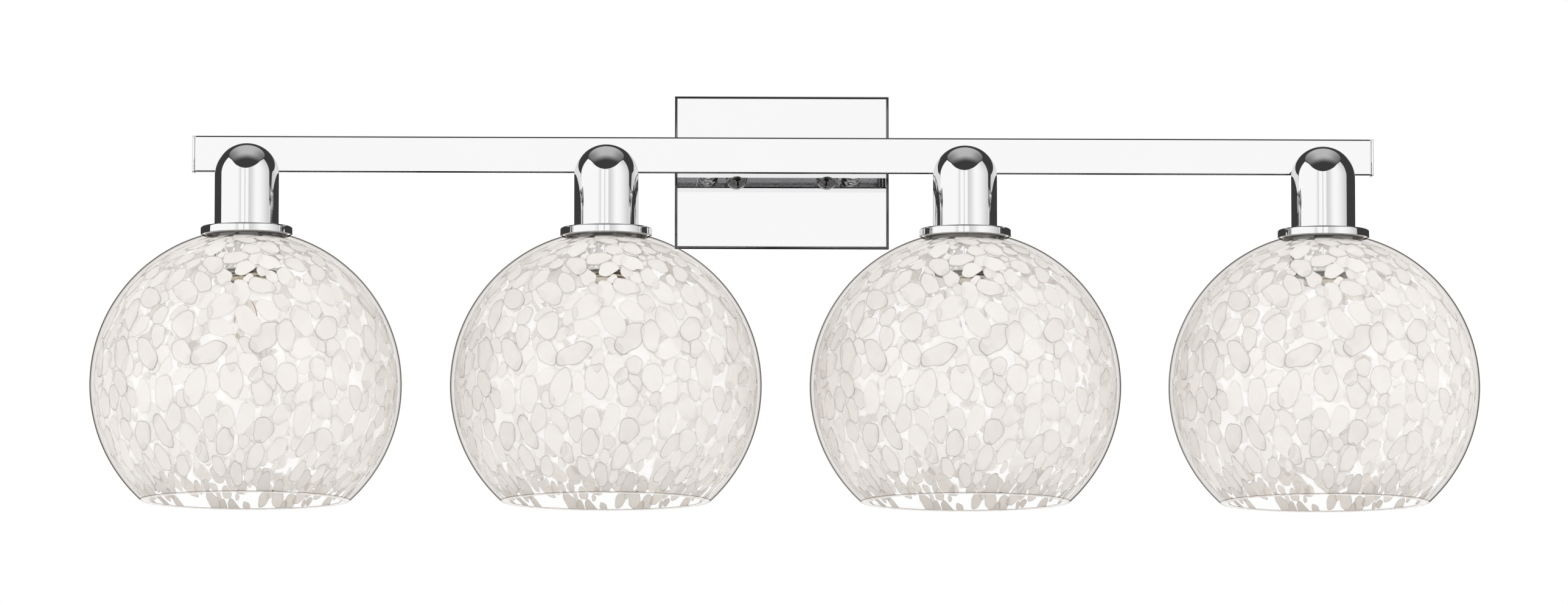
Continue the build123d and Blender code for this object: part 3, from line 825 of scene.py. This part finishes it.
def build_lamp_base(number):
    """Screw base: a shell with a real helical thread."""
    node = f"bulb_base_{number}"
    low, high, span = size_of(node)
    axis = light_axis(number)
    root, crest, pitch = THREAD_ROOT, span.x / 2, THREAD_PITCH
    start, end = low.z + 2.8 * MM, high.z - 1.6 * MM
    steps, rows_per_turn = 72, 16

    def thread(z, angle):
        """The thread's radius, where it grows out of the plain part and fades at the top."""
        fade = min(1.0, (z - start) / (0.6 * pitch), (end - z) / (0.6 * pitch))
        wave = 0.5 + 0.5 * math.cos(2 * math.pi * (z / pitch) - angle)
        valley = root + (crest - root) * max(0.0, 1 - (z - start) / (0.4 * pitch))
        return valley + (crest - valley) * wave * max(0.0, fade)

    count = int((end - start) / pitch * rows_per_turn)
    rows = [(low.z, crest - 0.2 * MM), (low.z + 0.3 * MM, crest), (start - 0.6 * MM, crest)]
    rows += [(start + (end - start) * k / count, None) for k in range(count + 1)]
    rows += [(high.z - 0.8 * MM, root), (high.z, root - 0.6 * MM), (high.z, root - 1.2 * MM)]
    bm = bmesh.new()
    rings = []
    for z, radius in rows:
        ring = []
        for k in range(steps):
            angle = 2 * math.pi * k / steps
            r = radius or thread(z, angle)
            ring.append(bm.verts.new((axis.x + r * math.cos(angle), axis.y + r * math.sin(angle), z)))
        rings.append(ring)
    for a, b in zip(rings, rings[1:]):
        for k in range(steps):
            j = (k + 1) % steps
            bm.faces.new((a[k], a[j], b[j], b[k]))
    bmesh.ops.recalc_face_normals(bm, faces=bm.faces)
    name = f"lamp_base_{number}"
    shell = add_object(name, finished(bm, name, 50), NICKEL)
    sheet(shell, 0.35 * MM)
    place(shell, f"bulb_{number}", node)


def build_lamp_tip(number):
    """Insulator that tapers to the end contact."""
    node = f"bulb_tip_{number}"
    _, _, span = size_of(node)
    h = span.z / MM
    outline = round_corners([
        (0, 0, 0), (11.8, 0, 0), (11.6, 0.6, 0.4), (5.6, h - 1.4, 0.8), (4.6, h - 1.3, 0.2),
        (3.8, h - 0.4, 0.4), (2.2, h, 0.6), (0, h, 0),
    ])
    piece = lathe(f"lamp_tip_{number}", outline, foot_of(node), INSULATOR, closed=False)
    place(piece, f"bulb_contact_{number}", node)


def build_tube(number):
    """Tubular glass: a neck, a shoulder, and a rounded end with a nub."""
    node = f"bulb_glass_{number}"
    low, high, span = size_of(node)
    axis = light_axis(number)
    radius, neck, wall = span.x / 2, 11.8 * MM, 0.9 * MM
    bottom, neck_end, shoulder = low.z - axis.z, NECK_END * MM, SHOULDER * MM
    sides = [(neck, high.z - axis.z), (neck, neck_end)]
    for k in range(1, 17):
        t = k / 16
        ease = t * t * (3 - 2 * t)
        sides.append((neck + (radius - neck) * ease, neck_end + (shoulder - neck_end) * t))
    end_centre = bottom + radius + 1.0 * MM
    dome = arc(end_centre, radius, math.pi / 2, math.pi - 0.16, 30)
    nub = [
        (1.7 * MM, dome[-1][1] - 0.6 * MM), (1.5 * MM, bottom + 1.0 * MM),
        (0.9 * MM, bottom + 0.2 * MM), (0, bottom),
    ]
    inner = [(r - wall, z) for r, z in sides]
    inner += arc(end_centre, radius - wall, math.pi / 2, math.pi, 30)
    outline = sides + dome + nub + inner[::-1]
    piece = lathe(f"bulb_tube_{number}", outline, axis, BULB_CLEAR, closed=False, steps=96)
    place(piece, f"bulb_{number}", node)


def build_stem(number):
    """Glass stem, flared where it meets the bulb's neck, with a thin rod down to the anchors."""
    stem = round_corners([
        (3.0, STEM_TOP, 0), (4.6, STEM_TOP, 0.4), (4.6, STEM_END + 8, 2),
        (3.0, STEM_END + 3, 1), (2.2, STEM_END, 1.0), (1.0, STEM_END - 1, 0.4),
        (1.0, ANCHORS, 0.6), (0, ANCHORS - 1, 0), (0, STEM_END + 2, 0), (1.4, STEM_END + 6, 0),
    ])
    piece = lathe(f"bulb_stem_{number}", stem, light_axis(number), BULB_CLEAR, steps=48)
    place(piece, f"bulb_{number}", f"bulb_mount_{number}")


def build_leads(number):
    """Two lead wires that spread and end in hooks, and two anchor wires in the stem's end."""
    axis = light_axis(number)
    wires = []

    def add_wire(word, side, points, radius):
        """A wire through (x, z) points in mm from the globe's top, mirrored by side."""
        path = [axis + Vector((side * x, 0, z)) * MM for x, z in points]
        wires.append(wire(f"{word}_{number}_{side}", path, radius * MM, COPPER))

    lead_start, inset = STEM_END + 8, 1.2
    lead, hook = [], []
    for k in range(19):
        t = k / 18
        bend = 1 - (1 - t) ** 2.2
        lead.append((
            inset + (LEAD_SPREAD - inset) * bend, lead_start + (LEADS_END - lead_start) * t ** 1.25
        ))
    for k in range(13):
        angle = math.pi * 1.4 * k / 12
        hook.append((
            LEAD_SPREAD - HOOK_R + HOOK_R * math.cos(angle), LEADS_END - HOOK_R * math.sin(angle)
        ))
    for side in (-1, 1):
        add_wire("lead", side, lead, 0.32)
        add_wire("hook", side, hook, 0.28)
    for side in (-1, 1):
        add_wire("anchor", side, [(0.6, ANCHORS + 0.4), (1.6, ANCHORS - 0.6), (2.2, ANCHORS + 0.2)], 0.2)
    place(
        joined(f"bulb_leads_{number}", wires), f"bulb_{number}", f"bulb_mount_{number}"
    )


def build_filament(number):
    """Coiled filament from one lead down to the anchors and up to the other lead."""
    axis = light_axis(number)
    turns, per_turn, coil_r = 52, 8, 0.32 * MM
    total = turns * per_turn
    forward = Vector((0, 1, 0))
    coil = []
    for side in (1, -1):
        begin = axis + Vector((side * (LEAD_SPREAD - HOOK_R), 0, LEADS_END)) * MM
        finish = axis + Vector((side * 1.9, 0, ANCHORS)) * MM
        across = (finish - begin).normalized().cross(forward).normalized()
        stretch = []
        for k in range(total + 1):
            angle = 2 * math.pi * turns * k / total
            ring = across * math.cos(angle) + forward * math.sin(angle)
            stretch.append(begin.lerp(finish, k / total) + ring * coil_r)
        coil += stretch if side == 1 else stretch[::-1]
    filament = wire(f"bulb_filament_{number}", coil, 0.14 * MM, GOLD_WIRE, resolution=1)
    place(filament, f"bulb_{number}", f"bulb_mount_{number}")


# ---------------------------------------------------------------- hidden CAD pieces
def dress_cad():
    """Finishes for the hidden CAD nodes, which stay as they are in shape."""
    finishes = {
        "crossbar": ZINC, "ground_screw": BRASS, "mounting_studs": ZINC, "stud_nuts": ZINC,
        "hollow_nipples": ZINC, "nipple_nuts": ZINC, "socket_contacts": BRASS,
        "socket_brackets": ZINC, "bracket_screws": ZINC, "lead_wires": JACKET,
        "wire_nuts": CONNECTOR, "knob_washer_left": NYLON, "knob_washer_right": NYLON,
    }
    for number in LIGHTS:
        finishes[f"socket_body_{number}"] = PHENOLIC
        finishes[f"shade_gaskets_{number}"] = RUBBER
    for node, finish in finishes.items():
        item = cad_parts[node]
        if not item.material_slots:
            item.data.materials.append(finish)
        for one in item.material_slots:
            one.material = finish


# ---------------------------------------------------------------- studio
SOFT_LIGHT = 1.28  # how bright the studio's soft light is beside its white background
PANEL_LIGHT = 1.205  # how bright the panels are that gloss sees
DARKEST = 0.045  # the least that gloss sees, before that


def build_world():
    """White studio. Gloss sees tall soft panels all round in front, with dark above and below
    them, a grey ceiling overhead and a pale patch straight behind."""
    world = bpy.data.worlds.new("studio")
    scene.world = world
    world.use_nodes = True
    n = Nodes(world.node_tree)
    x, y, z = n.add(
        "ShaderNodeSeparateXYZ", {0: n.add("ShaderNodeTexCoord").outputs["Generated"]}
    ).outputs
    # degrees round from straight ahead of the fixture, to its right, and degrees up
    around = n.math("DIVIDE", n.math("ARCTAN2", x, n.times(y, -1.0)), math.radians(1))
    up = n.math("DIVIDE", n.math("ARCSINE", z), math.radians(1))
    wide = n.absolute(around)

    side = n.times(n.step(around, 88.0, 91.0, 1.0, 0.0), n.step(around, -104.0, -101.0))
    # soft dips and one thin dark line between the panels ahead, then a slow fall to the right
    fall = n.math(
        "SUBTRACT", n.step(around, 6.0, 8.5, 1.0, 0.70), n.step(around, 40.0, 100.0, 0.0, 0.40)
    )
    fall = n.math("ADD", fall, n.step(around, 10.0, 38.0, 0.0, 0.30))
    dip = n.times(n.step(around, -32.0, -20.0), n.step(around, -20.0, -18.0, 0.24, 0.0))
    thin = n.step(n.absolute(n.math("ADD", around, 5.2)), 0.4, 1.1, 0.35, 1.0)
    gap = n.times(n.math("SUBTRACT", fall, dip), thin)
    # the panels' top edge is lower straight ahead
    notch = n.step(n.absolute(n.math("ADD", around, 4.0)), 0.0, 75.0, 20.0, 0.0)
    edge = n.math("SUBTRACT", n.step(wide, 30.0, 90.0, 40.0, 45.0), notch)
    over = n.math("SUBTRACT", up, edge)
    top, bottom = n.step(over, -0.8, 0.8, 1.0, 0.0), n.step(up, -17.0, -11.0)
    panels = n.times(side, gap, top, bottom)
    # the ceiling is black near its front edge and grey overhead, and darker to the sides
    overhead = n.times(
        n.step(y, -0.62, -0.10, 0.04, 0.50), n.step(n.absolute(x), 0.15, 0.70, 1.0, 0.33)
    )
    ceiling = n.times(overhead, n.step(up, 14.0, 28.0), n.step(over, 0.5, 4.0))
    behind = n.times(n.step(wide, 168.0, 173.0), n.step(n.absolute(up), 11.0, 17.0, 1.0, 0.0))
    rest = n.math("MAXIMUM", n.math("MAXIMUM", ceiling, behind), DARKEST)
    gloss = n.times(n.math("MAXIMUM", panels, rest), PANEL_LIGHT)

    ray = n.add("ShaderNodeLightPath")
    level = n.math("SUBTRACT", SOFT_LIGHT, n.times(ray.outputs["Is Camera Ray"], SOFT_LIGHT - 1.0))
    seen = n.add("ShaderNodeBackground", {"Color": (1, 1, 1, 1), "Strength": level})
    mirrored = n.add("ShaderNodeBackground", {"Color": (1, 1, 1, 1), "Strength": gloss})
    mixed = n.blend(ray.outputs["Is Glossy Ray"], seen, mirrored)
    n.add("ShaderNodeOutputWorld", {"Surface": mixed})


def build_floor():
    """Pale ground, small and low enough to leave views from below clear."""
    half, level = 2.0, -2.0
    mesh = bpy.data.meshes.new("studio_floor")
    mesh.from_pydata(
        [(-half, -half, level), (half, -half, level), (half, half, level), (-half, half, level)],
        [], [(0, 1, 2, 3)],
    )
    made, n = material("pale_floor")
    fine = n.noise(plain_position(n), 60.0, 3.0).outputs[0]
    surface(n, n.add("ShaderNodeBsdfPrincipled", {
        "Base Color": n.mix(fine, (0.86, 0.86, 0.86, 1), (0.89, 0.89, 0.89, 1)), "Roughness": 0.7,
    }))
    floor = add_object("studio_floor", mesh, made)
    floor.visible_glossy = False


def aimed(name, data, where, way):
    """A light or camera at a place, looking one way."""
    holder = bpy.data.objects.new(name, data)
    holder.location = where
    holder.rotation_euler = way.to_track_quat("-Z", "Y").to_euler()
    scene.collection.objects.link(holder)
    return holder


def build_lights():
    """Two soft area lights in front, for the shading on the flecks."""
    target = Vector((0, light_axis(1).y, -0.15))
    for name, where, power in (
        ("soft_left", Vector((-1.6, -2.6, 1.0)), 3.0), ("soft_right", Vector((1.9, -2.4, 0.5)), 2.0),
    ):
        lamp = bpy.data.lights.new(name, "AREA")
        lamp.energy = power
        lamp.size = 1.6
        holder = aimed(name, lamp, where, target - where)
        holder.visible_glossy = holder.visible_camera = holder.visible_transmission = False


def build_camera():
    """Long lens, a little below the fixture and looking up at it."""
    distance, elevation, azimuth = 6.5, math.radians(6.2), math.radians(-1.5)
    frame_width = 1.0234  # what the picture's width shows at the globes
    target = Vector((-0.0011, light_axis(1).y, -0.0972))
    camera = bpy.data.cameras.new("camera")
    camera.sensor_width = 36.0
    camera.lens = camera.sensor_width * distance / frame_width
    camera.clip_end = 50.0
    back = Vector((
        math.sin(azimuth) * math.cos(elevation), -math.cos(azimuth) * math.cos(elevation),
        -math.sin(elevation),
    ))
    scene.camera = aimed("camera", camera, target + back * distance, -back)


# ---------------------------------------------------------------- build everything
scene.view_settings.view_transform = "Standard"
scene.view_settings.look = "None"
scene.cycles.max_bounces = 32
scene.cycles.diffuse_bounces = 16
scene.cycles.glossy_bounces = 12
scene.cycles.transparent_max_bounces = 32
build_camera()
build_world()
build_floor()
build_lights()
build_backplate()
build_bar()
build_standoffs()
for word in ("left", "right"):
    build_knob(word)
for number in LIGHTS:
    build_cover(number)
    build_arm(number)
    build_disc(number)
    build_ring(number)
    build_globe(number)
    build_lamp_base(number)
    build_lamp_tip(number)
    build_tube(number)
    build_stem(number)
    build_leads(number)
    build_filament(number)
build_flecks()
dress_cad()
